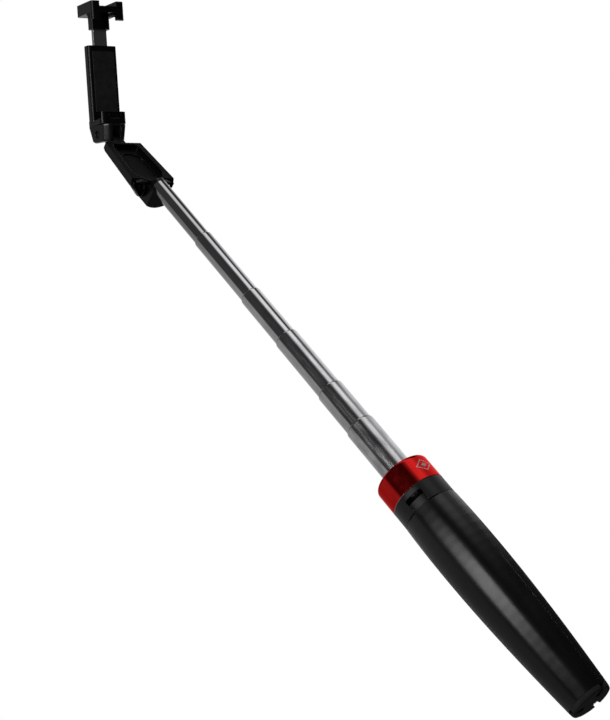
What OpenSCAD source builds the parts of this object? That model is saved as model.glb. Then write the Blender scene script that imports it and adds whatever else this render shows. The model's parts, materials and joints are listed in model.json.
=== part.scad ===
// Tripod selfie stick: a telescoping pole on a handle that splits into three legs,
// with a hinged head arm and a spring-loaded phone clamp.
// Millimetres. +Z runs up the pole, the handle ends at z = 0, the front faces -Y.

/* [Handle] */
// height of the collar's top face above the handle's end
handle_h = 169; // [150:1:190]
// length of the red collar along the pole
collar_h = 18; // [12:0.5:24]
// outside radius of the collar and of the hub skirt
collar_r = 17.5; // [15:0.1:21]
// rounding of the collar's top edge
collar_round = 2.4; // [1:0.1:4]
// bright chamfer at the collar's lower edge
collar_chamfer = 0.45; // [0.2:0.05:1]
// height of the hub skirt below the collar
skirt_h = 12; // [9:0.5:18]
// radius of the hub spigot inside the collar
spigot_r = 15.2; // [13:0.1:17]

/* [Legs] */
// handle radius at its foot end
foot_r = 12.6; // [10:0.1:15]
// pull of the outline above the foot
belly_low_r = 16.7; // [14:0.1:19]
// pull of the outline below the hub
belly_high_r = 19.4; // [17:0.1:22]
// gap on each side of a leg seam
seam_gap = 0.16; // [0.05:0.01:0.4]
// wall of the leg shell
leg_wall = 2; // [1.2:0.1:3]
// width of the hinge lug on a leg
lug_w = 11; // [8:0.2:14]
// radius of the leg hinge pins
leg_pin_r = 1.25; // [0.8:0.05:2]
// distance of a leg hinge from the pole axis
leg_hinge_r = 13.5; // [12:0.1:15]
// height of a leg hinge below the collar
leg_hinge_drop = 10; // [8:0.1:11]
// width of the finger notch at each seam's end
notch_w = 3.7; // [2:0.1:6]
// height of the finger notch
notch_h = 3; // [1:0.1:6]

/* [Pole] */
// outside diameter of the thinnest section
pole_d = 11.2; // [8:0.1:14]
// growth in diameter from one section to the next
pole_step = 1.5; // [1.2:0.05:2]
// wall of every section
tube_wall = 0.4; // [0.3:0.05:0.6]
// rest height of the mouth of section 2
mouth_2 = 389.9; // [340:0.1:420]
// rest height of the mouth of section 3
mouth_3 = 331.6; // [290:0.1:350]
// rest height of the mouth of section 4
mouth_4 = 290.1; // [250:0.1:310]
// rest height of the mouth of section 5
mouth_5 = 242; // [215:0.1:260]
// rest height of the mouth of section 6
mouth_6 = 210.4; // [190:0.1:225]
// rest height of the top end of section 1
top_1 = 446.5; // [420:0.1:470]
// length of section 1
tube_len = 136; // [110:1:140]
// how much longer each wider section is
tube_len_step = 2; // [0:0.5:4]

/* [Head arm] */
// distance of the tilt axis behind the pole axis
tilt_y = 6; // [3:0.1:8]
// height of the tilt axis
tilt_z = 454.5; // [448:0.5:460]
// half width of the arm at its lower end
arm_low_w = 18; // [14:0.1:20]
// half width of the arm at its shoulders
arm_high_w = 14.8; // [11:0.1:17]
// front face of the arm
arm_front = -0.7; // [-3:0.1:0]
// back face of the arm above the hinge
arm_back = 4.7; // [4:0.1:8]
// height of the arm's shoulders
arm_top = 497.5; // [490:0.5:505]
// height of the arm's lower front edge
arm_low = 455.5; // [452:0.5:460]
// half width of the knuckle between the arm's ears
knuckle_w = 7.5; // [5:0.1:9]
// radius of the arm's ears around the tilt axis
ear_r = 6.4; // [5:0.1:8]
// depth of the front recess
recess_depth = 3.3; // [2:0.1:4]

/* [Phone clamp] */
// distance of the clamp hinge behind the pole axis
clamp_y = 5; // [2:0.1:8]
// height of the clamp hinge
clamp_z = 514; // [500:0.5:530]
// forward lean of the clamp
clamp_lean = 48.6; // [0:0.1:90]
// rounding of the upright edges of the clamp neck
neck_round = 5; // [2:0.1:6]
// turn of the clamp on its neck
clamp_turn = 9.7; // [0:0.1:30]
// opening between the jaw pads
jaw_gap = 71; // [57:0.5:86]
// half width of the upper jaw
upper_jaw_w = 12.2; // [10:0.1:18]
// depth of the space for a phone, from back pad to lip
phone_depth = 8.4; // [6:0.1:12]
// thickness of the jaw lips
lip_t = 1.9; // [1:0.1:3]
// thickness of the upper jaw's lips
upper_lip_t = 3.2; // [1:0.1:4]

/* [Hidden] */
$fn = 96;
run_gap = 0.05;
leg_angles = [210, 330, 90];
collar_bottom = handle_h - collar_h;
hub_bottom = collar_bottom - skirt_h;
leg_top = hub_bottom - 0.3;
leg_hinge_z = collar_bottom - leg_hinge_drop;
leg_bore_r = pole_r(7) + 0.4;
relief_r = 4.3;
relief_end_r = 2.3;
relief_len = 6.5;
lug_disc_r = 3.05;
leg_screw_rows = [13.5, 131];
screw_r = 0.78;
screw_hole_r = 0.8;
screw_socket_r = 0.4;
hub_notch_top = collar_bottom - 3.5;
plug_z = 11;
tube_base_z = 13;
outer_tube_top = 162;
wiper_top = collar_bottom + 14.3;
wiper_r = pole_r(7) + 2.1;
lip_z = collar_bottom + 14.5;
pad_u = 11;
back_n = 1.1;
lip_n = back_n + phone_depth;
plug_r = pole_r(7) - tube_wall - 0.01;
slide_w = 5;
clamp_bolt_x = 7.85;
lower_jaw_w = 9.9;
lower_jaw_back = -12.2;
jaw_low = 6.8;
upper_jaw_back = -12.4;
prong_w = 5.8;
jaw_round = 4.2;
lip_reach = 4;
cover_screw_x = 8.4;
cover_screw_rows = [11.8, 59.2];
slider_screw_x = 2.8;
slider_screw_drop = 4;
bush_h = 16;
block_pin_drop = 9;
hinge_bolt_r = 1.5;
arm_bolt_head_r = 2.9;
clamp_bolt_head_r = 2.5;
knuckle_r = 5.3;
rim_path_r = 7.8;
rim_path_angle = 44;
ear_w = 9.6;
arm_wall = 1.5;
lobe_low = 442.8;
lobe_back = 14.8;
lobe_round = 17;

function pole_r(i) = (pole_d + (i - 1) * pole_step) / 2;
function bez(a, b, c, d, t) =
    a * pow(1 - t, 3) + 3 * b * t * pow(1 - t, 2) + 3 * c * t * t * (1 - t) + d * pow(t, 3);
function handle_r(z) = bez(foot_r, belly_low_r, belly_high_r, collar_r + 0.1, z / hub_bottom);

// ---- shared shapes ----

// cylinder along X centred on the origin
module x_rod(r, h) {
    rotate([0, 90, 0])
        cylinder(r = r, h = h, center = true);
}

// frame of the clamp hinge: z along the clamp's height, -y towards its open front
module at_clamp() {
    translate([0, clamp_y, clamp_z])
        rotate([clamp_lean, 0, 0])
            children();
}

// frame of the turned jaws
module at_jaws() {
    at_clamp()
        rotate([0, 0, -clamp_turn])
            children();
}

// block with rounded upright edges: x half width, front n, back n, low u, high u
module jaw_block(w, front, back, low, high, r) {
    translate([0, 0, low])
        linear_extrude(high - low)
            offset(r)
                offset(-r)
                    translate([-w, -front])
                        square([2 * w, front - back]);
}

// ---- handle ----

module collar_ring() {
    color([0.75, 0.06, 0.08])
        rotate_extrude()
            difference() {
                union() {
                    translate([0, collar_bottom])
                        square([collar_r - collar_round, collar_h]);
                    translate([0, collar_bottom + collar_chamfer])
                        square([collar_r, collar_h - collar_round - collar_chamfer]);
                    translate([0, collar_bottom])
                        square([collar_r - collar_chamfer, collar_h / 2]);
                    polygon([
                        [0, collar_bottom],
                        [collar_r - collar_chamfer, collar_bottom],
                        [collar_r, collar_bottom + collar_chamfer],
                        [0, collar_bottom + collar_chamfer]
                    ]);
                    translate([collar_r - collar_round, handle_h - collar_round])
                        circle(collar_round);
                }
                translate([-1, collar_bottom - 1])
                    square([spigot_r + run_gap + 1, lip_z - collar_bottom + 1]);
                translate([-1, lip_z - 1])
                    square([pole_r(6) + 1.3, collar_h]);
            }
}

module leg_hub() {
    color([0.05, 0.05, 0.055])
        difference() {
            union() {
                translate([0, 0, hub_bottom])
                    cylinder(r = collar_r - 0.05, h = skirt_h - 0.1);
                translate([0, 0, hub_bottom])
                    cylinder(r = spigot_r, h = wiper_top - hub_bottom);
            }
            translate([0, 0, hub_bottom - 1])
                cylinder(r = pole_r(7) + 0.01, h = collar_h + skirt_h + 2);
            translate([0, 0, outer_tube_top])
                cylinder(r = wiper_r + 0.1, h = collar_h);
            for (a = leg_angles)
                rotate([0, 0, a]) {
                    translate([pole_r(7) - 1, -lug_w / 2 - 0.3, hub_bottom - 1])
                        cube([collar_r, lug_w + 0.6, hub_notch_top - hub_bottom + 1]);
                    translate([leg_hinge_r, 0, leg_hinge_z])
                        rotate([90, 0, 0])
                            cylinder(r = leg_pin_r + 0.01, h = 17, center = true);
                }
            for (a = leg_angles)
                rotate([0, 0, a + 60])
                    translate([0, 0, collar_bottom + 6])
                        rotate([0, 90, 0])
                            cylinder(r = 1, h = 20);
        }
}

module outer_tube() {
    color([0.72, 0.73, 0.75])
        tube_solid(7, tube_base_z, outer_tube_top);
}

module tube_end_plug() {
    color([0.08, 0.08, 0.085])
        translate([0, 0, plug_z])
            rotate_extrude()
                polygon([
                    [0, 0], [pole_r(7) - 0.6, 0], [pole_r(7), 0.6], [pole_r(7), 1.9],
                    [plug_r, 2], [plug_r, 7], [pole_r(7) - 2, 8],
                    [pole_r(7) - 2, 3.5], [0, 3.5]
                ]);
}

module mouth_wiper_ring() {
    color([0.06, 0.06, 0.06])
        rotate_extrude()
            polygon([
                [pole_r(6) + run_gap, outer_tube_top + 0.5],
                [wiper_r, outer_tube_top + 0.05],
                [wiper_r, wiper_top],
                [pole_r(6) + 0.6, wiper_top],
                [pole_r(6) + run_gap, wiper_top - 0.6]
            ]);
}

module hub_set_screws() {
    color([0.45, 0.45, 0.47])
        for (a = leg_angles)
            rotate([0, 0, a + 60])
                translate([pole_r(7) + 0.02, 0, collar_bottom + 6])
                    rotate([0, 90, 0])
                        difference() {
                            cylinder(r = 0.98, h = 4.6);
                            translate([0, 0, 3.4])
                                cylinder(r = 0.5, h = 2);
                        }
}

module leg_hinge_pins() {
    color([0.7, 0.7, 0.72])
        for (a = leg_angles)
            rotate([0, 0, a])
                translate([leg_hinge_r, 0, leg_hinge_z])
                    rotate([90, 0, 0])
                        cylinder(r = leg_pin_r, h = 16.4, center = true);
}

// ---- legs, drawn pointing along +X ----

// third of a full turn with a gap along both seams
module leg_wedge(inset, low, high) {
    translate([0, 0, low])
        linear_extrude(high - low)
            offset(delta = -inset)
                polygon([[0, 0], [22, -22 * tan(60)], [60, 0], [22, 22 * tan(60)]]);
}

// solid of revolution under the handle's outline
module handle_body(inset, low, high) {
    steps = 22;
    rotate_extrude()
        polygon(concat(
            [[0, low]],
            [for (i = [0:steps]) [
                handle_r(low + (high - low) * i / steps) - inset,
                low + (high - low) * i / steps
            ]],
            [[0, high]]
        ));
}

module leg_lug() {
    reach = collar_r - leg_hinge_r - 0.15;
    difference() {
        intersection() {
            translate([leg_hinge_r, 0, leg_hinge_z])
                rotate([90, 0, 0])
                    linear_extrude(lug_w, center = true)
                        union() {
                            circle(lug_disc_r);
                            translate([0, -relief_r - 1])
                                square([reach, relief_r + 1 + lug_disc_r]);
                            translate([-lug_disc_r, -relief_r - 1])
                                square([lug_disc_r + reach, relief_r + 0.5]);
                        }
            translate([0, 0, leg_hinge_z])
                rotate([90, 0, 90])
                    linear_extrude(collar_r)
                        offset(1)
                            offset(-1)
                                translate([-lug_w / 2, -20])
                                    square([lug_w, 20 + lug_disc_r]);
            cylinder(r = collar_r - 0.1, h = handle_h);
        }
        translate([leg_hinge_r, 0, leg_hinge_z])
            rotate([90, 0, 0])
                cylinder(r = leg_pin_r + 0.06, h = 30, center = true);
    }
}

module leg_shell(angle) {
    color([0.045, 0.045, 0.05])
        rotate([0, 0, angle]) {
            difference() {
                intersection() {
                    handle_body(0, 3, leg_top);
                    leg_wedge(seam_gap, 0, leg_top);
                }
                translate([0, 0, plug_z - 0.4])
                    cylinder(r = leg_bore_r, h = handle_h);
                hinge_relief();
                intersection() {
                    handle_body(leg_wall, 16, 128);
                    leg_wedge(leg_wall, 16, 128);
                }
                translate([0, 0, 2])
                    intersection() {
                        cylinder(r = 9.6, h = 5.5);
                        leg_wedge(2.2, 0, 10);
                    }
                seam_notches();
                for (z = leg_screw_rows)
                    translate([0, 0, z])
                        rotate([0, 90, 0])
                            cylinder(r = screw_hole_r, h = leg_bore_r + 1.9);
            }
            leg_lug();
        }
}

// room for a leg's top to turn under the hub, narrowing away from the lug
module hinge_relief() {
    translate([leg_hinge_r, 0, leg_hinge_z])
        for (s = [-90, 90])
            rotate([s, 0, 0]) {
                cylinder(r = relief_r, h = lug_w / 2);
                translate([0, 0, lug_w / 2 - 0.01])
                    cylinder(r1 = relief_r, r2 = relief_end_r, h = relief_len);
            }
}

// finger notches at both seams of one leg
module seam_notches() {
    for (s = [-60, 60])
        rotate([0, 0, s])
            translate([5.3, -notch_w / 2, -1])
                cube([20, notch_w, notch_h + 1]);
}

module leg_liner(angle) {
    color([0.07, 0.07, 0.075])
        rotate([0, 0, angle])
            difference() {
                intersection() {
                    translate([0, 0, 16.2])
                        difference() {
                            cylinder(r = leg_bore_r + 1.1, h = 111.6);
                            translate([0, 0, -1])
                                cylinder(r = leg_bore_r, h = 130);
                        }
                    leg_wedge(leg_wall + 0.1, 0, 140);
                }
                for (z = [40, 104])
                    translate([0, 0, z])
                        cube([60, 5, 14], center = true);
            }
}

module leg_foot(angle) {
    color([0.03, 0.03, 0.03])
        rotate([0, 0, angle]) {
            difference() {
                intersection() {
                    rotate_extrude()
                        polygon([
                            [0, 0], [foot_r - 1.2, 0], [foot_r - 0.35, 0.35], [foot_r, 1.2],
                            [handle_r(2.9), 2.9], [0, 2.9]
                        ]);
                    leg_wedge(seam_gap, 0, 3);
                }
                seam_notches();
            }
            translate([0, 0, 2.5])
                intersection() {
                    cylinder(r = 9.5, h = 4.9);
                    leg_wedge(2.3, 0, 10);
                }
        }
}

module leg_screws(angle) {
    color([0.6, 0.6, 0.62])
        rotate([0, 0, angle])
            for (z = leg_screw_rows)
                translate([leg_bore_r + 0.1, 0, z])
                    rotate([0, 90, 0])
                        difference() {
                            cylinder(r = screw_r, h = 1.7);
                            translate([0, 0, -1])
                                cylinder(r = screw_socket_r, h = 1.5);
                        }
}

module front_left_leg_shell() {
    leg_shell(leg_angles[0]);
}

module front_left_leg_liner() {
    leg_liner(leg_angles[0]);
}

module front_left_leg_foot() {
    leg_foot(leg_angles[0]);
}

module front_left_leg_screws() {
    leg_screws(leg_angles[0]);
}

module front_right_leg_shell() {
    leg_shell(leg_angles[1]);
}

module front_right_leg_liner() {
    leg_liner(leg_angles[1]);
}

module front_right_leg_foot() {
    leg_foot(leg_angles[1]);
}

module front_right_leg_screws() {
    leg_screws(leg_angles[1]);
}

module rear_leg_shell() {
    leg_shell(leg_angles[2]);
}

module rear_leg_liner() {
    leg_liner(leg_angles[2]);
}

module rear_leg_foot() {
    leg_foot(leg_angles[2]);
}

module rear_leg_screws() {
    leg_screws(leg_angles[2]);
}

// ---- pole ----

// tube of section i from low to high, its mouth rolled in around the next section
module tube_solid(i, low, high) {
    r = pole_r(i);
    neck = i > 1 ? pole_r(i - 1) + run_gap : r - tube_wall;
    rotate_extrude()
        polygon([
            [r - tube_wall, low], [r, low], [r, high - 1.1], [r - 0.08, high - 0.6],
            [r - 0.28, high - 0.15], [r - 0.5, high],
            [neck, high], [neck, high - 0.9], [r - tube_wall, high - 1.3]
        ]);
}

// bush on the lower end of section i, running in the next wider section
module bush_solid(i, low) {
    r = pole_r(i);
    out = pole_r(i + 1) - tube_wall - run_gap;
    rotate_extrude()
        polygon([
            [r - tube_wall - 0.3, low - 3], [out - 0.15, low - 3], [out, low - 2.6],
            [out, low + bush_h], [r + 0.01, low + bush_h], [r + 0.01, low], [r - tube_wall - 0.3, low]
        ]);
}

// rest height of the mouth of section i
function mouth(i) = [top_1, mouth_2, mouth_3, mouth_4, mouth_5, mouth_6][i - 1];
function base(i) = mouth(i) - tube_len - tube_len_step * (i - 1);

module pole_tube(i) {
    color([0.72, 0.73, 0.75])
        if (i == 1)
            difference() {
                translate([0, 0, base(1)])
                    cylinder(r = pole_r(1), h = top_1 - base(1));
                translate([0, 0, base(1) - 1])
                    cylinder(r = pole_r(1) - tube_wall, h = tube_len + 2);
                translate([0, 0, top_1 - block_pin_drop])
                    x_rod(screw_hole_r, 30);
            }
        else
            tube_solid(i, base(i), mouth(i));
}

module pole_bush(i) {
    color([0.85, 0.85, 0.82])
        bush_solid(i, base(i));
}

module section_6_tube() {
    pole_tube(6);
}

module section_6_bush() {
    pole_bush(6);
}

module section_5_tube() {
    pole_tube(5);
}

module section_5_bush() {
    pole_bush(5);
}

module section_4_tube() {
    pole_tube(4);
}

module section_4_bush() {
    pole_bush(4);
}

module section_3_tube() {
    pole_tube(3);
}

module section_3_bush() {
    pole_bush(3);
}

module section_2_tube() {
    pole_tube(2);
}

module section_2_bush() {
    pole_bush(2);
}

module section_1_tube() {
    pole_tube(1);
}

module section_1_bush() {
    pole_bush(1);
}

// ---- head ----

module head_block() {
    color([0.05, 0.05, 0.055])
        difference() {
            union() {
                translate([0, tilt_y, tilt_z])
                    x_rod(knuckle_r, 2 * knuckle_w);
                intersection() {
                    translate([-knuckle_w, 0.5, lobe_low])
                        cube([2 * knuckle_w, 15, tilt_z - lobe_low]);
                    translate([0, lobe_back - lobe_round, lobe_low - 1])
                        cylinder(r = lobe_round, h = 20);
                    translate([0, tilt_y + 1.4, tilt_z - 4])
                        x_rod(11.2, 2 * knuckle_w);
                }
                translate([0, 0, top_1])
                    cylinder(r = pole_r(1), h = 3.2);
                translate([0, 0, top_1 - 14])
                    cylinder(r = pole_r(1) - tube_wall - 0.01, h = 15);
            }
            translate([0, 0, top_1 - 30])
                difference() {
                    cylinder(r = pole_r(1) + 0.02, h = 30);
                    cylinder(r = pole_r(1) - tube_wall - 0.01, h = 31);
                }
            translate([0, 0, top_1 - 15])
                cylinder(r = 3, h = 10);
            rim_path();
            translate([0, tilt_y, tilt_z])
                x_rod(hinge_bolt_r + 0.06, 40);
            translate([0, 0, top_1 - block_pin_drop])
                x_rod(screw_hole_r, 30);
        }
}

// space swept by the arm's lower rim when the arm leans forward
module rim_path() {
    translate([0, tilt_y, tilt_z])
        rotate([90, 0, 90])
            linear_extrude(40, center = true)
                difference() {
                    intersection() {
                        circle(rim_path_r);
                        polygon([
                            [0, 0],
                            [-rim_path_r, 2.4],
                            [-rim_path_r, -rim_path_r * tan(rim_path_angle)]
                        ]);
                    }
                    circle(knuckle_r);
                }
}

module head_block_pin() {
    color([0.7, 0.7, 0.72])
        translate([0, 0, top_1 - block_pin_drop])
            x_rod(screw_r, 11.1);
}

// front outline of the arm, drawn in by inset, seen from the front
module arm_outline(inset, low) {
    offset(1.4)
        offset(-1.4 - inset)
            polygon([
                [-arm_low_w, low], [arm_low_w, low],
                [arm_high_w, arm_top], [-arm_high_w, arm_top]
            ]);
}

// outline of the front recess: square shoulders above, a half round below
module recess_outline() {
    offset(3.4)
        offset(-3.4)
            polygon(concat(
                [[10.6, arm_top - 2.6], [-10.6, arm_top - 2.6], [-12.9, 467]],
                [for (a = [180:15:360]) [12.9 * cos(a), 467 + 13.6 * sin(a)]],
                [[12.9, 467]]
            ));
}

// swelling behind the arm's lower half, around the tilt axis
module arm_swell() {
    hull() {
        translate([0, tilt_y, tilt_z])
            x_rod(ear_r, 2 * ear_w, $fn = 40);
        translate([-arm_low_w + 1, arm_front + 2, arm_low - 3])
            cube([2 * arm_low_w - 2, arm_back - arm_front - 2, 8]);
        translate([-arm_high_w + 3, arm_front + 3, arm_top - 22])
            cube([2 * arm_high_w - 6, arm_back - arm_front - 3, 6]);
    }
}

// hollow of the lower corners, open downwards, one wall inside the swelling
module arm_hollow() {
    intersection() {
        hull() {
            translate([0, tilt_y, tilt_z - 14])
                x_rod(ear_r - arm_wall, 2 * ear_w, $fn = 40);
            translate([0, tilt_y, tilt_z])
                x_rod(ear_r - arm_wall, 2 * ear_w, $fn = 40);
            translate([-arm_low_w + arm_wall, arm_front + arm_wall, arm_low - 20])
                cube([2 * (arm_low_w - arm_wall), arm_back - arm_front - 2 * arm_wall, 26]);
        }
        for (s = [-1, 1])
            translate([s * (ear_w + 5) - 5, -20, arm_low - 25])
                cube([10, 60, 35]);
    }
}

// curved rim under the front recess
module recess_rim() {
    translate([0, arm_front + 3, 0])
        rotate([90, 0, 0])
            linear_extrude(3)
                intersection() {
                    offset(1.3)
                        recess_outline();
                    translate([-11, 440])
                        square([22, 22]);
                }
}

module arm_shell() {
    color([0.045, 0.045, 0.05])
        difference() {
            union() {
                intersection() {
                    translate([0, arm_back, 0])
                        rotate([90, 0, 0])
                            linear_extrude(arm_back - arm_front)
                                arm_outline(0, arm_low - 2.4);
                    rotate([90, 0, 90])
                        linear_extrude(60, center = true)
                            offset(1)
                                offset(-1)
                                    polygon([
                                        [arm_front, arm_low], [arm_back, arm_low - 2.4],
                                        [arm_back, arm_top - 3.4], [arm_back - 1, arm_top - 1],
                                        [arm_back - 3.2, arm_top], [arm_front, arm_top]
                                    ]);
                }
                arm_swell();
                recess_rim();
                rotate([90, 0, 90])
                    linear_extrude(6.4, center = true)
                        hull() {
                            translate([clamp_y, clamp_z])
                                circle(4.4);
                            translate([arm_front + 0.6, arm_top - 4])
                                square([arm_back - arm_front - 1, 2]);
                        }
            }
            // room for the knuckle, and for the block behind the pole when the arm leans back
            translate([0, tilt_y, tilt_z])
                x_rod(knuckle_r + 0.35, 2 * knuckle_w + 0.6);
            translate([-knuckle_w - 0.3, arm_back, tilt_z - 20])
                cube([2 * knuckle_w + 0.6, 30, 60]);
            translate([-knuckle_w - 0.3, arm_front + 1, tilt_z - 20])
                cube([2 * knuckle_w + 0.6, 30, 20.4]);
            // front recess with a deeper round-ended seat
            translate([0, arm_front + recess_depth, 0])
                rotate([90, 0, 0])
                    linear_extrude(20)
                        recess_outline();
            translate([0, arm_front + recess_depth + 0.7, 478.6])
                rotate([90, 0, 0])
                    cylinder(r = 9.6, h = 10);
            translate([-9.6, arm_front + 0.5, 462])
                cube([19.2, recess_depth + 0.2, 16.6]);
            // hinge bolts
            translate([0, tilt_y, tilt_z])
                x_rod(hinge_bolt_r + 0.1, 60);
            translate([0, clamp_y, clamp_z])
                x_rod(hinge_bolt_r + 0.06, 30);
            arm_hollow();
        }
}

module arm_hinge_bolt() {
    color([0.55, 0.55, 0.57])
        translate([0, tilt_y, tilt_z])
            difference() {
                union() {
                    x_rod(hinge_bolt_r, 2 * ear_w + 3);
                    translate([-ear_w - 0.8, 0, 0])
                        x_rod(arm_bolt_head_r, 1.4);
                }
                translate([-ear_w - 1.5, 0, 0])
                    x_rod(1.1, 1.6);
            }
}

module arm_hinge_nut() {
    color([0.55, 0.55, 0.57])
        translate([ear_w + 0.8, tilt_y, tilt_z])
            difference() {
                rotate([0, 90, 0])
                    cylinder(r = arm_bolt_head_r, h = 1.4, center = true, $fn = 6);
                x_rod(hinge_bolt_r + 0.02, 4);
            }
}

// ---- clamp neck ----

module clamp_neck() {
    color([0.05, 0.05, 0.055])
        at_clamp()
            difference() {
                hull() {
                    jaw_block(9.6, 10.9, -12, 5.5, 6.5, neck_round);
                    jaw_block(8.9, 9.4, -9.6, -4.2, -3.2, neck_round);
                    jaw_block(7.8, 8.3, -8.5, -5.2, -4.2, neck_round - 0.6);
                }
                translate([-3.5, -20, -20])
                    cube([7, 40, 25.2]);
                x_rod(hinge_bolt_r + 0.1, 40);
                for (s = [-1, 1])
                    translate([s * (clamp_bolt_x + 0.95), 0, 0])
                        x_rod(clamp_bolt_head_r + 0.2, 3);
                cylinder(r = 1.5, h = 20);
            }
}

module clamp_hinge_bolt() {
    color([0.55, 0.55, 0.57])
        at_clamp()
            difference() {
                union() {
                    x_rod(hinge_bolt_r, 2 * clamp_bolt_x);
                    translate([-clamp_bolt_x, 0, 0])
                        x_rod(clamp_bolt_head_r, 1);
                }
                translate([-clamp_bolt_x - 0.8, 0, 0])
                    x_rod(1, 1.6);
            }
}

module clamp_hinge_nut() {
    color([0.55, 0.55, 0.57])
        at_clamp()
            translate([clamp_bolt_x, 0, 0])
                difference() {
                    rotate([0, 90, 0])
                        cylinder(r = clamp_bolt_head_r, h = 1, center = true, $fn = 6);
                    x_rod(hinge_bolt_r + 0.02, 4);
                }
}

module swivel_screw() {
    color([0.55, 0.55, 0.57])
        at_clamp()
            difference() {
                union() {
                    translate([0, 0, 5.3])
                        cylinder(r = 1.48, h = 3.6);
                    translate([0, 0, 8.6])
                        cylinder(r = 2.6, h = 1.1);
                }
                translate([0, 0, 9.2])
                    cylinder(r = 0.9, h = 2);
            }
}

module swivel_washer() {
    color([0.8, 0.8, 0.78])
        at_clamp()
            translate([0, 0, 8.05])
                difference() {
                    cylinder(r = 3.2, h = 0.5);
                    translate([0, 0, -1])
                        cylinder(r = 1.52, h = 3);
                }
}

// ---- clamp body, turned on the neck ----

module clamp_body() {
    front = lip_n + lip_t;
    color([0.05, 0.05, 0.055])
        at_jaws()
            difference() {
                union() {
                    jaw_block(lower_jaw_w, front, lower_jaw_back, jaw_low, pad_u - 1, jaw_round);
                    intersection() {
                        jaw_block(lower_jaw_w, front, lower_jaw_back, jaw_low, pad_u + lip_reach, jaw_round);
                        for (s = [-1, 1])
                            translate([s * 7 - 2.3, -front - 1, jaw_low])
                                cube([4.6, lip_t + 1, 9]);
                    }
                    jaw_block(11, 0.1, -7.9, 9, 62, 2.4);
                }
                // swivel bore and its counterbore
                cylinder(r = 1.56, h = 30);
                translate([0, 0, 8])
                    cylinder(r = 3.3, h = 2.6);
                // channel for the slider plate and the springs
                translate([-slide_w - 0.3, 2.2, 11])
                    cube([2 * slide_w + 0.6, 3.6, 60]);
                translate([-9.6, 2.2, 11])
                    cube([19.2, 3.6, 48.8]);
                // seat for the back cover
                translate([-9.9, 5.79, 10])
                    cube([19.8, 10, 51]);
            }
}

module clamp_back_cover() {
    color([0.06, 0.06, 0.065])
        at_jaws()
            difference() {
                translate([-9.8, 5.85, 10.1])
                    cube([19.6, 2, 50.8]);
                for (x = [-cover_screw_x, cover_screw_x])
                    for (z = cover_screw_rows)
                        translate([x, 0, z])
                            rotate([-90, 0, 0])
                                cylinder(r = screw_hole_r, h = 10);
            }
}

module back_cover_screws() {
    color([0.5, 0.5, 0.52])
        at_jaws()
            for (x = [-cover_screw_x, cover_screw_x])
                for (z = cover_screw_rows)
                    translate([x, 6.3, z])
                        rotate([-90, 0, 0])
                            difference() {
                                cylinder(r = screw_r, h = 1.5);
                                translate([0, 0, 1])
                                    cylinder(r = screw_socket_r, h = 2);
                            }
}

module lower_jaw_pad() {
    color([0.03, 0.03, 0.03])
        at_jaws()
            jaw_block(8, lip_n - 0.2, back_n + 0.1, pad_u - 0.95, pad_u, 1.2);
}

module clamp_back_pad() {
    color([0.03, 0.03, 0.03])
        at_jaws()
            translate([0, -0.15, 0])
                jaw_block(8.4, back_n - 0.2, 0.02, 16, 58, 0.4);
}

module jaw_springs() {
    color([0.65, 0.65, 0.67])
        at_jaws()
            for (x = [-7.6, 7.6])
                translate([x, 4, 29.1])
                    coil(1.6, 0.35, 30.5, 14);
}

// stack of turns standing on z = 0
module coil(r, wire, length, turns) {
    pitch = length / turns;
    rotate_extrude($fn = 24)
        polygon(concat(
            [for (i = [0:2 * turns]) [r - (i % 2) * wire, i * pitch / 2]],
            [for (i = [2 * turns:-1:0]) [r - (i % 2) * wire - 0.3, i * pitch / 2]]
        ));
}

// ---- sliding upper jaw ----

module upper_jaw() {
    front = lip_n + upper_lip_t;
    color([0.05, 0.05, 0.055])
        at_jaws()
            translate([0, 0, pad_u + jaw_gap])
                difference() {
                    union() {
                        jaw_block(upper_jaw_w, front, upper_jaw_back, 0.9, 8.7, 2.2);
                        intersection() {
                            jaw_block(upper_jaw_w, front, upper_jaw_back, -lip_reach, 8, 2.2);
                            for (x = [-upper_jaw_w, upper_jaw_w - prong_w])
                                translate([x, -front - 1, -lip_reach])
                                    cube([prong_w, upper_lip_t + 1, 8]);
                        }
                        jaw_block(slide_w + 2, 0.1, -6.9, -8.5, 3, 1.5);
                    }
                    // saddle between the prongs
                    translate([-upper_jaw_w + prong_w, -30, 5.2])
                        cube([2 * (upper_jaw_w - prong_w), 60, 10]);
                    translate([-slide_w - 0.05, 2.45, -20])
                        cube([2 * slide_w + 0.1, 3.1, 21.5]);
                    for (x = [-slider_screw_x, slider_screw_x])
                        translate([x, 0, -slider_screw_drop])
                            rotate([-90, 0, 0])
                                cylinder(r = screw_hole_r, h = 10);
                }
}

module upper_jaw_pads() {
    color([0.03, 0.03, 0.03])
        at_jaws()
            translate([0, 0, pad_u + jaw_gap])
                for (s = [-1, 1])
                    translate([s * 8, 0, 0])
                        jaw_block(3.6, lip_n - 0.2, back_n + 0.1, 0, 0.9, 1.2);
}

module slider_plate() {
    color([0.6, 0.6, 0.62])
        at_jaws()
            difference() {
                union() {
                    translate([-slide_w, 2.5, 26])
                        cube([2 * slide_w, 3, pad_u + jaw_gap - 24.6]);
                    translate([-9.3, 2.5, 26])
                        cube([18.6, 3, 3]);
                }
                for (x = [-slider_screw_x, slider_screw_x])
                    translate([x, 0, pad_u + jaw_gap - slider_screw_drop])
                        rotate([-90, 0, 0])
                            cylinder(r = screw_hole_r, h = 10);
            }
}

module slider_screws() {
    color([0.5, 0.5, 0.52])
        at_jaws()
            for (x = [-slider_screw_x, slider_screw_x])
                translate([x, 1.8, pad_u + jaw_gap - slider_screw_drop])
                    rotate([-90, 0, 0])
                        difference() {
                            cylinder(r = screw_r, h = 5);
                            translate([0, 0, 4.4])
                                cylinder(r = screw_socket_r, h = 2);
                        }
}

// ---- which node is drawn ----

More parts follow.
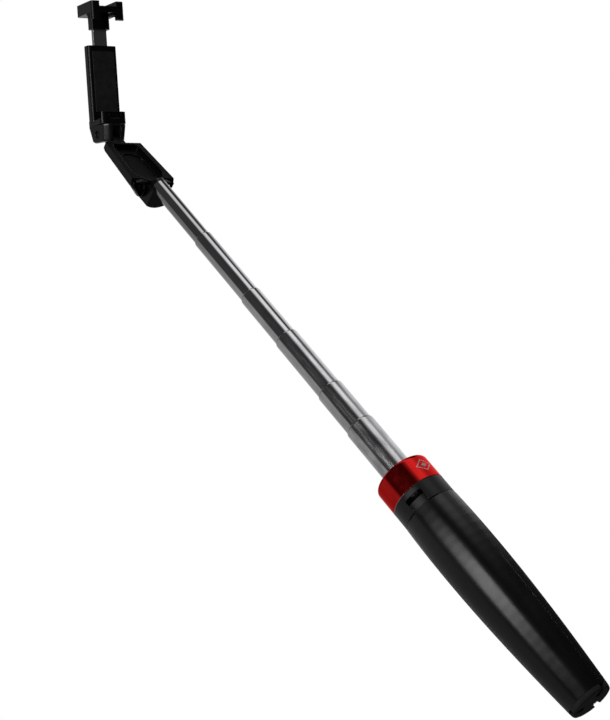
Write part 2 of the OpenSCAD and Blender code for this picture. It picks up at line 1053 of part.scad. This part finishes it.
collar_ring();
leg_hub();
outer_tube();
tube_end_plug();
mouth_wiper_ring();
hub_set_screws();
leg_hinge_pins();
front_left_leg_shell();
front_left_leg_liner();
front_left_leg_foot();
front_left_leg_screws();
front_right_leg_shell();
front_right_leg_liner();
front_right_leg_foot();
front_right_leg_screws();
rear_leg_shell();
rear_leg_liner();
rear_leg_foot();
rear_leg_screws();
section_6_tube();
section_6_bush();
section_5_tube();
section_5_bush();
section_4_tube();
section_4_bush();
section_3_tube();
section_3_bush();
section_2_tube();
section_2_bush();
section_1_tube();
section_1_bush();
head_block();
head_block_pin();
arm_shell();
arm_hinge_bolt();
arm_hinge_nut();
clamp_neck();
clamp_hinge_bolt();
clamp_hinge_nut();
swivel_screw();
swivel_washer();
clamp_body();
clamp_back_cover();
back_cover_screws();
lower_jaw_pad();
clamp_back_pad();
jaw_springs();
upper_jaw();
upper_jaw_pads();
slider_plate();
slider_screws();
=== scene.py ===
"""Looks, light and camera for the tripod selfie stick. Metres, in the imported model's frame."""

import json
import math

import bpy
from mathutils import Matrix, Quaternion, Vector


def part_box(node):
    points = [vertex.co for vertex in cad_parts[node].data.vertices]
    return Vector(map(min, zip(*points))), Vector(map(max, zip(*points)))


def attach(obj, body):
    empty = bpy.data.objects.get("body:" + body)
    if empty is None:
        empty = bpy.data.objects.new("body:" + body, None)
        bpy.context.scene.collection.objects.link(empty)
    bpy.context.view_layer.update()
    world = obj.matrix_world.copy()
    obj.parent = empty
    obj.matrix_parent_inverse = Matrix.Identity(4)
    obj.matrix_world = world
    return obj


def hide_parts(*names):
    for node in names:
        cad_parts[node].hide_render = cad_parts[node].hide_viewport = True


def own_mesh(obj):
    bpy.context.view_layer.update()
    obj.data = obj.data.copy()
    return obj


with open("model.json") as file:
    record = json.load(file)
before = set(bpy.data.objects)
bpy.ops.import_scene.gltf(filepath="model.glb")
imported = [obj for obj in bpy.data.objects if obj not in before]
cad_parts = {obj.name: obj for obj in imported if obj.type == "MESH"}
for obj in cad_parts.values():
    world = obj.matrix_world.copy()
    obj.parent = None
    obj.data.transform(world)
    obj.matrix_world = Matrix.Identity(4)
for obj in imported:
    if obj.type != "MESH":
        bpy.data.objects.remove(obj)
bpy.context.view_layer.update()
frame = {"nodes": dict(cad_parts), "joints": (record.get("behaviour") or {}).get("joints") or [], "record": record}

MM = 0.001
WHITE = (1.0, 1.0, 1.0, 1.0)

# where the camera stands, and its own axes in the frame
CAMERA_AT = (-0.6072, -0.4693, -0.1810)
CAMERA_RIGHT = Vector((0.7180, -0.4134, -0.5600))
CAMERA_UP = Vector((0.0803, -0.7500, 0.6566))
CAMERA_LENS_MM = 72.5
CAMERA_SENSOR_MM = 36.0
CAMERA_SHIFT = (-0.0229, -0.0165)
CAMERA_SEES_FROM_TO = (0.02, 50.0)

FLOOR_Z = -0.42
FLOOR_HALF = 20.0
FLOOR_WASH = 1.7
FLOOR_WASH_SPREAD = 50

# the world's ramps hold 0 to 1, so a panel's brightness is stored divided by this
PANEL_SCALE = 2.0


# ---- camera ----


def make_camera():
    data = bpy.data.cameras.new("camera")
    data.lens = CAMERA_LENS_MM
    data.sensor_width = CAMERA_SENSOR_MM
    data.shift_x, data.shift_y = CAMERA_SHIFT
    data.clip_start, data.clip_end = CAMERA_SEES_FROM_TO
    camera = bpy.data.objects.new("camera", data)
    bpy.context.scene.collection.objects.link(camera)
    right = CAMERA_RIGHT.normalized()
    back = right.cross(CAMERA_UP).normalized()
    up = back.cross(right)
    turn = Matrix((right, up, back)).transposed()
    camera.matrix_world = Matrix.Translation(CAMERA_AT) @ turn.to_4x4()
    bpy.context.scene.camera = camera


# ---- node helpers ----


class Graph:
    """Short calls for building one material or world tree."""

    def __init__(self, tree):
        self.tree = tree
        tree.nodes.clear()

    def node(self, kind, **settings):
        made = self.tree.nodes.new(kind)
        for name, value in settings.items():
            setattr(made, name, value)
        return made

    def link(self, source, target):
        self.tree.links.new(source, target)

    def feed(self, target, value):
        if isinstance(value, bpy.types.NodeSocket):
            self.link(value, target)
        else:
            target.default_value = value

    def math(self, operation, a, b=0.0, clamp=False):
        made = self.node("ShaderNodeMath", operation=operation, use_clamp=clamp)
        self.feed(made.inputs[0], a)
        self.feed(made.inputs[1], b)
        return made.outputs[0]

    def mix(self, amount, a, b):
        """Colour mix of a and b."""
        made = self.node("ShaderNodeMix", data_type="RGBA")
        self.feed(made.inputs[0], amount)
        self.feed(made.inputs[6], a)
        self.feed(made.inputs[7], b)
        return made.outputs[2]

    def ramp(self, value, low, high, to_low=0.0, to_high=1.0):
        """Smooth step of value from low to high."""
        made = self.node("ShaderNodeMapRange", interpolation_type="SMOOTHSTEP")
        for socket, item in zip(made.inputs[:5], (value, low, high, to_low, to_high)):
            self.feed(socket, item)
        return made.outputs[0]

    def place(self, scale=(1.0, 1.0, 1.0)):
        """Position on the object at rest in millimetres, times scale on each axis."""
        coords = self.node("ShaderNodeTexCoord")
        mapping = self.node("ShaderNodeMapping")
        self.link(coords.outputs["Object"], mapping.inputs["Vector"])
        mapping.inputs["Scale"].default_value = [s / MM for s in scale]
        return mapping.outputs[0]

    def noise(self, place, scale, detail=3.0, rough=0.5):
        made = self.node("ShaderNodeTexNoise")
        self.link(place, made.inputs["Vector"])
        made.inputs["Scale"].default_value = scale
        made.inputs["Detail"].default_value = detail
        made.inputs["Roughness"].default_value = rough
        return made.outputs["Fac"]

    def bump(self, height, depth_mm, normal=None, strength=1.0):
        made = self.node("ShaderNodeBump")
        made.inputs["Strength"].default_value = strength
        made.inputs["Distance"].default_value = depth_mm * MM
        self.link(height, made.inputs["Height"])
        if normal is not None:
            self.link(normal, made.inputs["Normal"])
        return made.outputs[0]

    def length(self, a, b):
        """Square root of a squared plus b squared."""
        squares = self.math("ADD", self.math("MULTIPLY", a, a), self.math("MULTIPLY", b, b))
        return self.math("SQRT", squares)

    def soft_edges(self, radius_mm):
        """Normal with softened edges, and a mask that is 1 along them."""
        flat, turned_35_degrees = 0.995, 0.82
        bevel = self.node("ShaderNodeBevel", samples=6)
        bevel.inputs["Radius"].default_value = radius_mm * MM
        geometry = self.node("ShaderNodeNewGeometry")
        dot = self.node("ShaderNodeVectorMath", operation="DOT_PRODUCT")
        self.link(bevel.outputs[0], dot.inputs[0])
        self.link(geometry.outputs["Normal"], dot.inputs[1])
        mask = self.ramp(dot.outputs["Value"], flat, turned_35_degrees)
        return bevel.outputs[0], mask


def new_material(name):
    material = bpy.data.materials.new(name)
    material.use_nodes = True
    graph = Graph(material.node_tree)
    shader = graph.node("ShaderNodeBsdfPrincipled")
    output = graph.node("ShaderNodeOutputMaterial")
    graph.link(shader.outputs[0], output.inputs["Surface"])
    return material, graph, shader


def grey(value, tint=(1.0, 1.0, 1.0)):
    """Opaque grey, or a colour when a tint is given."""
    return [value * t for t in tint] + [1.0]


# ---- materials ----


def drawn_steel(name, tone=0.6, mottle=0.12, roughness=0.16):
    """Stainless tube, drawn and polished: fine lines along it and faint mottling."""
    material, graph, shader = new_material(name)
    place = graph.place()
    clouds = graph.noise(graph.place((1.0, 1.0, 0.35)), 0.22, 4.0, 0.6)
    lines = graph.noise(graph.place((1.0, 1.0, 0.012)), 9.0, 2.0, 0.6)
    rubs = graph.noise(graph.place((1.0, 1.0, 0.06)), 0.9, 3.0, 0.7)
    specks = graph.ramp(graph.noise(place, 2.6, 2.0, 0.5), 0.66, 0.74)
    light = grey(tone, (1.0, 1.0, 1.02))
    dark = grey(tone * (1.0 - 2.4 * mottle), (1.0, 1.0, 1.03))
    colour = graph.mix(graph.ramp(clouds, 0.36, 0.62), dark, light)
    colour = graph.mix(graph.math("MULTIPLY", graph.ramp(lines, 0.35, 0.7), mottle), colour, dark)
    colour = graph.mix(graph.math("MULTIPLY", specks, 0.22), colour, grey(tone * 0.62))
    graph.link(colour, shader.inputs["Base Color"])
    rough = graph.ramp(rubs, 0.3, 0.75, roughness * 0.75, roughness * 1.5)
    rough = graph.math("ADD", rough, graph.math("MULTIPLY", clouds, mottle * 0.2))
    graph.link(rough, shader.inputs["Roughness"])
    shader.inputs["Metallic"].default_value = 1.0
    shader.inputs["Anisotropic"].default_value = 0.55
    shader.inputs["Anisotropic Rotation"].default_value = 0.25
    fine = graph.bump(lines, 0.002)
    graph.link(graph.bump(clouds, 0.08 * roughness, fine, 0.5), shader.inputs["Normal"])
    return material


def moulded_plastic(name, tone=0.02, roughness=0.42, grain=1.6, depth=0.01, gloss=0.5, edge=0.3):
    """Moulded plastic: spark-eroded grain, faint flow marks, edges worn a little lighter."""
    material, graph, shader = new_material(name)
    tint = (1.0, 1.0, 1.04)
    place = graph.place()
    fine = graph.noise(place, grain, 3.0, 0.6)
    flow = graph.noise(graph.place((1.0, 1.0, 0.4)), 0.09, 3.0, 0.55)
    dust = graph.ramp(graph.noise(place, 1.1, 4.0, 0.7), 0.68, 0.78)
    scuffs = graph.ramp(graph.noise(graph.place((1.0, 1.0, 0.2)), 0.7, 3.0, 0.65), 0.64, 0.76)
    normal, worn = graph.soft_edges(edge)
    worn = graph.math("MULTIPLY", worn, graph.ramp(flow, 0.3, 0.7, 0.25, 0.8))
    colour = graph.mix(graph.ramp(flow, 0.3, 0.7), grey(tone * 0.8, tint), grey(tone * 1.25, tint))
    colour = graph.mix(graph.math("MULTIPLY", dust, 0.12), colour, grey(min(1.0, tone * 5.0)))
    colour = graph.mix(graph.math("MULTIPLY", worn, 0.5), colour, grey(min(0.9, tone * 3.2), tint))
    graph.link(colour, shader.inputs["Base Color"])
    rough = graph.ramp(flow, 0.25, 0.75, roughness * 0.88, roughness * 1.12)
    rough = graph.math("ADD", rough, graph.math("MULTIPLY", scuffs, 0.06))
    rough = graph.math("SUBTRACT", rough, graph.math("MULTIPLY", worn, 0.08))
    graph.link(rough, shader.inputs["Roughness"])
    shader.inputs["Specular IOR Level"].default_value = gloss
    graph.link(graph.bump(fine, depth, normal), shader.inputs["Normal"])
    return material


def rubber(name, tone=0.02, roughness=0.72):
    """Soft rubber: dull, finely pitted, greyer where it is rubbed."""
    material, graph, shader = new_material(name)
    place = graph.place()
    pits = graph.noise(place, 2.4, 4.0, 0.7)
    bloom = graph.noise(place, 0.25, 3.0, 0.6)
    normal, worn = graph.soft_edges(0.35)
    colour = graph.mix(graph.ramp(bloom, 0.3, 0.7), grey(tone * 0.75), grey(tone * 1.5))
    colour = graph.mix(graph.math("MULTIPLY", worn, 0.4), colour, grey(tone * 3.0))
    graph.link(colour, shader.inputs["Base Color"])
    rough = graph.ramp(pits, 0.3, 0.7, roughness * 0.9, roughness * 1.15)
    graph.link(rough, shader.inputs["Roughness"])
    graph.link(graph.bump(pits, 0.06, normal, 0.6), shader.inputs["Normal"])
    return material


def natural_acetal(name):
    """Milky acetal with faint turning marks."""
    material, graph, shader = new_material(name)
    clean = grey(0.74, (1.0, 0.99, 0.94))
    stained = grey(0.66, (1.0, 0.97, 0.9))
    marks = graph.noise(graph.place((0.05, 0.05, 1.0)), 6.0, 2.0)
    stain = graph.noise(graph.place(), 0.3, 3.0, 0.6)
    graph.link(graph.mix(graph.ramp(stain, 0.3, 0.75), clean, stained), shader.inputs["Base Color"])
    graph.link(graph.ramp(stain, 0.2, 0.8, 0.34, 0.48), shader.inputs["Roughness"])
    shader.inputs["Subsurface Weight"].default_value = 0.08
    shader.inputs["Subsurface Scale"].default_value = 1.5 * MM
    graph.link(graph.bump(marks, 0.03), shader.inputs["Normal"])
    return material


def plated_steel(name, tone=0.55, roughness=0.28):
    """Plated screw or pin steel: patchy plating and rubbed edges."""
    material, graph, shader = new_material(name)
    thin = grey(tone * 0.82, (1.0, 1.0, 1.02))
    thick = grey(tone * 1.1, (1.0, 1.0, 1.02))
    patches = graph.noise(graph.place(), 0.9, 4.0, 0.65)
    scratches = graph.noise(graph.place((1.0, 0.15, 1.0)), 5.0, 3.0, 0.6)
    normal, worn = graph.soft_edges(0.15)
    colour = graph.mix(graph.ramp(patches, 0.3, 0.7), thin, thick)
    colour = graph.mix(graph.math("MULTIPLY", worn, 0.6), colour, grey(min(0.85, tone * 1.6)))
    graph.link(colour, shader.inputs["Base Color"])
    rough = graph.ramp(scratches, 0.3, 0.75, roughness * 0.8, roughness * 1.4)
    graph.link(rough, shader.inputs["Roughness"])
    shader.inputs["Metallic"].default_value = 1.0
    graph.link(graph.bump(scratches, 0.01, normal, 0.6), shader.inputs["Normal"])
    return material


def anodised_red(name):
    """Red anodised collar: turned lines, a bright lower rim, and a plain pale lozenge in front."""
    material, graph, shader = new_material(name)
    low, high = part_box("collar_ring")
    radius = (high.x - low.x) / 2
    rim_from, rim_to = low.z + 0.45 * MM, low.z + 0.30 * MM
    rim_depth = 1.2 * MM
    front_y = -radius * 0.8
    lozenge_z = (low.z + high.z) / 2
    lozenge_half_w, lozenge_half_h = 6.0 * MM, 4.4 * MM
    red_low = [0.54, 0.006, 0.006, 1.0]
    red_high = [0.64, 0.012, 0.010, 1.0]
    red_groove = [0.3, 0.003, 0.006, 1.0]
    red_worn = [0.75, 0.1, 0.1, 1.0]

    coords = graph.node("ShaderNodeTexCoord")
    axes = graph.node("ShaderNodeSeparateXYZ")
    graph.link(coords.outputs["Object"], axes.inputs[0])
    x, y, z = axes.outputs

    turned = graph.noise(graph.place((0.04, 0.04, 1.0)), 5.0, 3.0, 0.6)
    dye = graph.noise(graph.place(), 0.16, 3.0, 0.55)
    normal, worn = graph.soft_edges(0.25)
    colour = graph.mix(graph.ramp(dye, 0.3, 0.7), red_low, red_high)
    grooves = graph.math("MULTIPLY", graph.ramp(turned, 0.4, 0.7), 0.12)
    colour = graph.mix(grooves, colour, red_groove)
    colour = graph.mix(graph.math("MULTIPLY", worn, 0.25), colour, red_worn)

    outer = graph.math("GREATER_THAN", graph.length(x, y), radius - rim_depth)
    rim = graph.math("MULTIPLY", graph.ramp(z, rim_from, rim_to), outer)
    colour = graph.mix(rim, colour, grey(0.6, (1.0, 0.9, 0.88)))

    # an outline and a small centre, by distance from the lozenge's middle: 1 is its border
    off_middle = graph.math("ABSOLUTE", graph.math("SUBTRACT", z, lozenge_z))
    across = graph.math("DIVIDE", graph.math("ABSOLUTE", x), lozenge_half_w)
    upright = graph.math("DIVIDE", off_middle, lozenge_half_h)
    reach = graph.math("ADD", across, upright)
    line = graph.math("MULTIPLY", graph.ramp(reach, 1.0, 0.95), graph.ramp(reach, 0.80, 0.85))
    inside = graph.math("MAXIMUM", line, graph.ramp(reach, 0.36, 0.30))
    lozenge = graph.math("MULTIPLY", inside, graph.math("LESS_THAN", y, front_y))
    print_wear = graph.ramp(graph.noise(graph.place(), 1.4, 3.0, 0.6), 0.28, 0.42, 0.7, 1.0)
    lozenge = graph.math("MULTIPLY", lozenge, print_wear)
    colour = graph.mix(lozenge, colour, grey(0.78, (1.0, 0.98, 0.97)))

    graph.link(colour, shader.inputs["Base Color"])
    shader.inputs["Specular Tint"].default_value = (1.0, 0.3, 0.26, 1.0)
    shader.inputs["Coat Weight"].default_value = 0.15
    shader.inputs["Coat Roughness"].default_value = 0.12
    rough = graph.ramp(dye, 0.3, 0.7, 0.09, 0.14)
    rough = graph.math("ADD", rough, graph.math("MULTIPLY", lozenge, 0.2))
    graph.link(rough, shader.inputs["Roughness"])
    graph.link(graph.math("SUBTRACT", 1.0, lozenge, clamp=True), shader.inputs["Metallic"])
    graph.link(graph.bump(turned, 0.006, normal, 0.6), shader.inputs["Normal"])
    return material


# ---- what each CAD node is made of ----

LEGS = ("front_left_leg", "front_right_leg", "rear_leg")
HANDLE_BLACK = moulded_plastic(
    "handle_black", tone=0.004, roughness=0.25, grain=2.6, depth=0.003, gloss=0.50)
HEAD_BLACK = moulded_plastic(
    "head_black", tone=0.0035, roughness=0.27, grain=2.0, depth=0.005, gloss=0.36)
HUB_BLACK = moulded_plastic(
    "hub_black", tone=0.010, roughness=0.34, grain=2.4, depth=0.006, gloss=0.40)
LINER_BLACK = moulded_plastic("liner_black", tone=0.012, roughness=0.5, grain=1.3)
STEEL = {
    "section_1_tube": drawn_steel("steel_thin", tone=0.56, mottle=0.03, roughness=0.08),
    "section_2_tube": drawn_steel("steel_2", tone=0.60, mottle=0.04, roughness=0.08),
    "section_3_tube": drawn_steel("steel_3", tone=0.60, mottle=0.05, roughness=0.09),
    "section_4_tube": drawn_steel("steel_4", tone=0.60, mottle=0.08, roughness=0.12),
    "section_5_tube": drawn_steel("steel_5", tone=0.60, mottle=0.10, roughness=0.12),
    "section_6_tube": drawn_steel("steel_6", tone=0.62, mottle=0.14, roughness=0.13),
    "outer_tube": drawn_steel("steel_outer", tone=0.60, mottle=0.10, roughness=0.20),
}
BY_SLOT = {
    "red_anodised_metal": anodised_red("red_anodised"),
    "black_plastic": HEAD_BLACK,
    "steel_tube": STEEL["outer_tube"],
    "black_rubber": rubber("black_rubber"),
    "white_plastic": natural_acetal("natural_acetal"),
    "zinc_steel": plated_steel("zinc_steel"),
    "dark_steel": plated_steel("dark_steel", tone=0.04, roughness=0.38),
}
OWN_LOOK = {
    **STEEL,
    "leg_hub": HUB_BLACK,
    **{f"{leg}_shell": HANDLE_BLACK for leg in LEGS},
    **{f"{leg}_liner": LINER_BLACK for leg in LEGS},
}


def dress_nodes():
    """Give every node its own look, or else the look of its material slot in the record."""
    slots = {part["node"]: part["material_slot"] for part in frame["record"]["subparts"]}
    for name, node in frame["nodes"].items():
        look = OWN_LOOK.get(name) or BY_SLOT[slots[name]]
        for index in range(max(1, len(node.data.materials))):
            if index < len(node.data.materials):
                node.data.materials[index] = look
            else:
                node.data.materials.append(look)


# ---- jaw springs ----

SPRING_TURNS = 14
SPRING_WIRE_R = 0.32 * MM
STEPS_A_TURN = 20
WIRE_SIDES = 8


def add_coil(vertices, faces, foot, axis, out, side, coil_r, length):
    """Wire coil rising from foot along axis, its first and last turns flat and its ends closed."""
    steps = SPRING_TURNS * STEPS_A_TURN
    rising_turns = SPRING_TURNS - 2
    first = len(vertices)
    for i in range(steps + 1):
        turns = SPRING_TURNS * i / steps
        rise = min(max((turns - 1) / rising_turns, 0.0), 1.0) * length
        a = 2 * math.pi * turns
        outward = out * math.cos(a) + side * math.sin(a)
        for k in range(WIRE_SIDES):
            b = 2 * math.pi * k / WIRE_SIDES
            spread = outward * math.cos(b) + axis * math.sin(b)
            vertices.append(foot + outward * coil_r + axis * rise + spread * SPRING_WIRE_R)
    for i in range(steps):
        for k in range(WIRE_SIDES):
            low, high = first + i * WIRE_SIDES, first + (i + 1) * WIRE_SIDES
            after = (k + 1) % WIRE_SIDES
            faces.append((low + k, low + after, high + after, high + k))
    faces.append(tuple(first + k for k in reversed(range(WIRE_SIDES))))
    faces.append(tuple(first + steps * WIRE_SIDES + k for k in range(WIRE_SIDES)))


def make_jaw_springs():
    """Two wire springs where the CAD has plain sleeves, hung on the clamp's body at their rest length."""
    points = [vertex.co for vertex in frame["nodes"]["jaw_springs"].data.vertices]
    slide = next(joint for joint in frame["joints"] if joint["name"] == "jaw_slide")
    axis = Vector(slide["axis"]).normalized()
    middle = sum(points, Vector()) / len(points)
    offsets = [(p - middle) - axis * (p - middle).dot(axis) for p in points]
    across = max(offsets, key=lambda offset: offset.length).normalized()
    side = axis.cross(across)
    directions = (axis, across, side)
    half_sizes = []
    centre = Vector()
    for direction in directions:
        reach = [p.dot(direction) for p in points]
        half_sizes.append((max(reach) - min(reach)) / 2)
        centre += direction * (min(reach) + max(reach)) / 2
    half_length, half_width, sleeve_r = half_sizes

    vertices, faces = [], []
    coil_r = sleeve_r - SPRING_WIRE_R
    half_coil = half_length - SPRING_WIRE_R
    for hand in (-1, 1):
        foot = centre + across * (hand * (half_width - sleeve_r)) - axis * half_coil
        add_coil(vertices, faces, foot, *directions, coil_r, 2 * half_coil)
    mesh = bpy.data.meshes.new("jaw_spring_coils")
    mesh.from_pydata(vertices, [], faces)
    for face in mesh.polygons:
        face.use_smooth = True
    mesh.materials.append(BY_SLOT["zinc_steel"])
    springs = bpy.data.objects.new("jaw_spring_coils", mesh)
    bpy.context.scene.collection.objects.link(springs)
    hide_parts("jaw_springs")
    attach(springs, "clamp")
    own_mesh(springs)


# ---- floor and light ----


def make_floor():
    """Plain pale paper under the object, kept out of its reflections."""
    material, graph, shader = new_material("floor_paper")
    fibres = graph.noise(graph.place(), 0.02, 4.0, 0.6)
    graph.link(graph.mix(fibres, grey(0.80), grey(0.84)), shader.inputs["Base Color"])
    shader.inputs["Roughness"].default_value = 0.9
    mesh = bpy.data.meshes.new("floor")
    signs = ((-1, -1), (1, -1), (1, 1), (-1, 1))
    corners = [(FLOOR_HALF * a, FLOOR_HALF * b, FLOOR_Z) for a, b in signs]
    mesh.from_pydata(corners, [], [(0, 1, 2, 3)])
    mesh.materials.append(material)
    floor = bpy.data.objects.new("floor", mesh)
    bpy.context.scene.collection.objects.link(floor)
    floor.visible_glossy = floor.visible_diffuse = False
    return floor


# the studio's panels and dark gaps in four bands of height. Each point is a direction, in degrees
# anticlockwise from the camera's side seen from above, and a brightness
PANELS_TOP = (
    (-180, 0.50), (-128, 0.32), (-110, 0.22), (-62, 0.20), (-52, 0.05), (30, 0.05),
    (45, 0.85), (66, 0.95), (76, 0.40), (83, 0.03), (113, 0.03), (128, 0.30), (145, 0.70),
)
PANELS_HIGH = (
    (-180, 0.60), (-150, 0.48), (-128, 0.40), (-110, 0.37), (-62, 0.38), (-52, 0.05), (28, 0.04),
    (40, 0.35), (47, 1.10), (68, 1.25), (79, 0.45), (84, 0.03), (97, 0.03), (107, 0.40), (122, 0.90),
    (150, 1.00),
)
PANELS_MIDDLE = (
    (-180, 0.60), (-150, 0.48), (-128, 0.42), (-110, 0.40), (-62, 0.42), (-52, 0.05), (28, 0.04),
    (40, 0.35), (47, 1.00), (68, 1.20), (80, 0.80), (90, 0.55), (99, 0.70), (110, 0.85), (150, 1.00),
)
PANELS_LOW = (
    (-180, 0.10), (-140, 0.20), (-60, 0.24), (-48, 0.04), (50, 0.04), (130, 0.02), (165, 0.04),
)
# the upper three bands, each with the elevations in degrees between which it takes over
UPPER_BANDS = (
    ((21.5, 23.5), PANELS_MIDDLE),
    ((26.0, 30.5), PANELS_HIGH),
    ((34.0, 38.0), PANELS_TOP),
)


def panel_ramp(graph, share, panels):
    """Brightness round the horizon from a few (degrees, brightness) points."""
    ramp = graph.node("ShaderNodeValToRGB")
    points = ramp.color_ramp.elements
    points[0].color = points[1].color = grey(panels[0][1] / PANEL_SCALE)
    for degrees, value in panels[1:]:
        points.new((degrees + 180) / 360).color = grey(value / PANEL_SCALE)
    graph.link(share, ramp.inputs[0])
    return ramp.outputs[0]


def make_world():
    """Plain white to the camera. What the object mirrors is a studio of panels and dark gaps."""
    half_turn_on = 1.5
    world = bpy.data.worlds.new("studio")
    bpy.context.scene.world = world
    world.use_nodes = True
    graph = Graph(world.node_tree)
    coords = graph.node("ShaderNodeTexCoord")
    axes = graph.node("ShaderNodeSeparateXYZ")
    graph.link(coords.outputs["Generated"], axes.inputs[0])
    camera_side = math.atan2(CAMERA_AT[1], CAMERA_AT[0])
    angle = graph.math("ARCTAN2", axes.outputs[1], axes.outputs[0])
    turns = graph.math("DIVIDE", graph.math("SUBTRACT", angle, camera_side), 2 * math.pi)
    share = graph.math("FRACT", graph.math("ADD", turns, half_turn_on))
    panels = panel_ramp(graph, share, PANELS_LOW)
    for elevations, upper in UPPER_BANDS:
        start, end = [math.sin(math.radians(e)) for e in elevations]
        above = graph.ramp(axes.outputs[2], start, end)
        panels = graph.mix(above, panels, panel_ramp(graph, share, upper))
    mirrored = graph.node("ShaderNodeBackground")
    graph.link(panels, mirrored.inputs["Color"])
    mirrored.inputs["Strength"].default_value = PANEL_SCALE
    plain = graph.node("ShaderNodeBackground")
    plain.inputs["Color"].default_value = WHITE
    blend = graph.node("ShaderNodeMixShader")
    graph.link(graph.node("ShaderNodeLightPath").outputs["Is Camera Ray"], blend.inputs[0])
    graph.link(mirrored.outputs[0], blend.inputs[1])
    graph.link(plain.outputs[0], blend.inputs[2])
    output = graph.node("ShaderNodeOutputWorld")
    graph.link(blend.outputs[0], output.inputs["Surface"])


def soft_light(name, target, azimuth, elevation, distance, width, height, brightness, roll=0.0):
    """Soft box aimed at target from a direction in degrees, then rolled about its own aim."""
    data = bpy.data.lights.new(name, "AREA")
    data.shape = "RECTANGLE"
    data.size, data.size_y = width, height
    data.energy = brightness * math.pi * width * height
    light = bpy.data.objects.new(name, data)
    bpy.context.scene.collection.objects.link(light)
    a, e = math.radians(azimuth), math.radians(elevation)
    away = Vector((math.cos(a) * math.cos(e), math.sin(a) * math.cos(e), math.sin(e)))
    light.location = Vector(target) + away * distance
    light.rotation_mode = "QUATERNION"
    roll_turn = Quaternion((0, 0, 1), math.radians(roll))
    light.rotation_quaternion = away.to_track_quat("Z", "Y") @ roll_turn
    light.visible_camera = False
    return light


def shine_only_on(light, things):
    """Keep a light's effect to the things given."""
    lit = bpy.data.collections.new(light.name + "_lit")
    for thing in things:
        lit.objects.link(thing)
    light.light_linking.receiver_collection = lit


def floor_wash(floor):
    """Even light that only brightens the floor."""
    data = bpy.data.lights.new("floor_wash", "SUN")
    data.energy = FLOOR_WASH
    data.angle = math.radians(FLOOR_WASH_SPREAD)
    light = bpy.data.objects.new("floor_wash", data)
    bpy.context.scene.collection.objects.link(light)
    shine_only_on(light, [floor])


def make_lights(floor):
    """The handle's long highlight, the streak down the clamp's neck, and the floor's own light."""
    low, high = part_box("rear_leg_shell")
    handle = (0.0, 0.0, (low.z + high.z) / 2)
    soft_light(
        "handle_strip", handle, azimuth=203, elevation=16, distance=1.5,
        width=1.2, height=0.16, brightness=9.6)
    low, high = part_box("clamp_neck")
    neck = (low + high) / 2
    neck_box = soft_light(
        "neck_box", neck, azimuth=210, elevation=-22, distance=1.0,
        width=1.4, height=0.34, brightness=6.6, roll=-41)
    bodies = frame["record"]["behaviour"]["bodies"]
    shine_only_on(neck_box, [frame["nodes"][name] for name in bodies["neck"]])
    floor_wash(floor)


make_camera()
dress_nodes()
make_jaw_springs()
floor_paper = make_floor()
make_world()
make_lights(floor_paper)
bpy.context.scene.view_settings.view_transform = "Standard"
